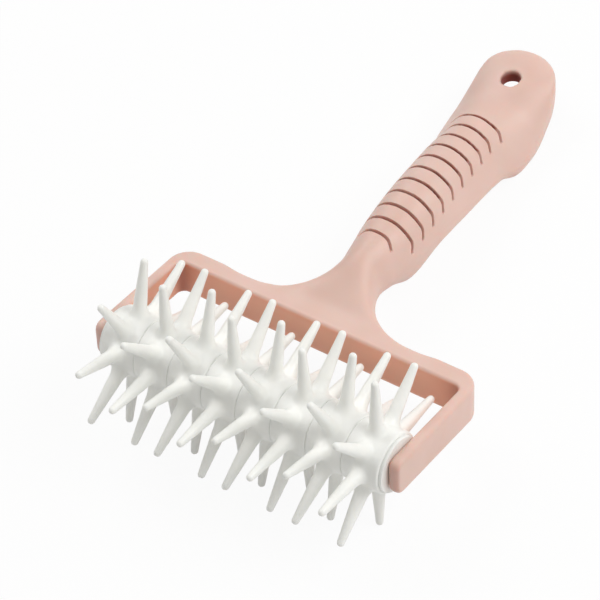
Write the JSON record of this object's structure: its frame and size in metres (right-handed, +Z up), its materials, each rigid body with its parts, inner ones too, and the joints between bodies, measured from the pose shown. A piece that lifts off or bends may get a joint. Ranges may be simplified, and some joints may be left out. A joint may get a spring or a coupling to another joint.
{
  "type": "dough docker",
  "caption": "Hand-held dough docker: a spiked roller turning in the fork of a one-piece moulded handle with thumb grooves and a hanging hole.",
  "frame": {"origin": "on the table under the middle of the box round the docker as it lies at rest: two rows of spikes and the handle's end touch Z = 0", "axes": "+X along the roller's axle, +Y from the roller to the handle's end, +Z up"},
  "size_m": [0.122, 0.2025, 0.0611],
  "materials": {
    "pink_plastic": "fine satin moulded plastic",
    "white_plastic": "smooth satin moulded plastic"
  },
  "bodies": {
    "handle": {"handle_frame": "pink_plastic"},
    "roller": {"axle": "white_plastic", "left_thrust_washer": "white_plastic", "right_thrust_washer": "white_plastic", "star_wheel_1": "white_plastic", "star_wheel_2": "white_plastic", "star_wheel_3": "white_plastic", "star_wheel_4": "white_plastic", "star_wheel_5": "white_plastic", "star_wheel_6": "white_plastic", "star_wheel_7": "white_plastic", "star_wheel_8": "white_plastic"}
  },
  "joints": [
    {"name": "roller_spin", "type": "hinge", "parent": "handle", "child": "roller", "pos_m": [0, -0.0706, 0.03057], "axis": [1, 0, 0], "continuous": true}
  ]
}
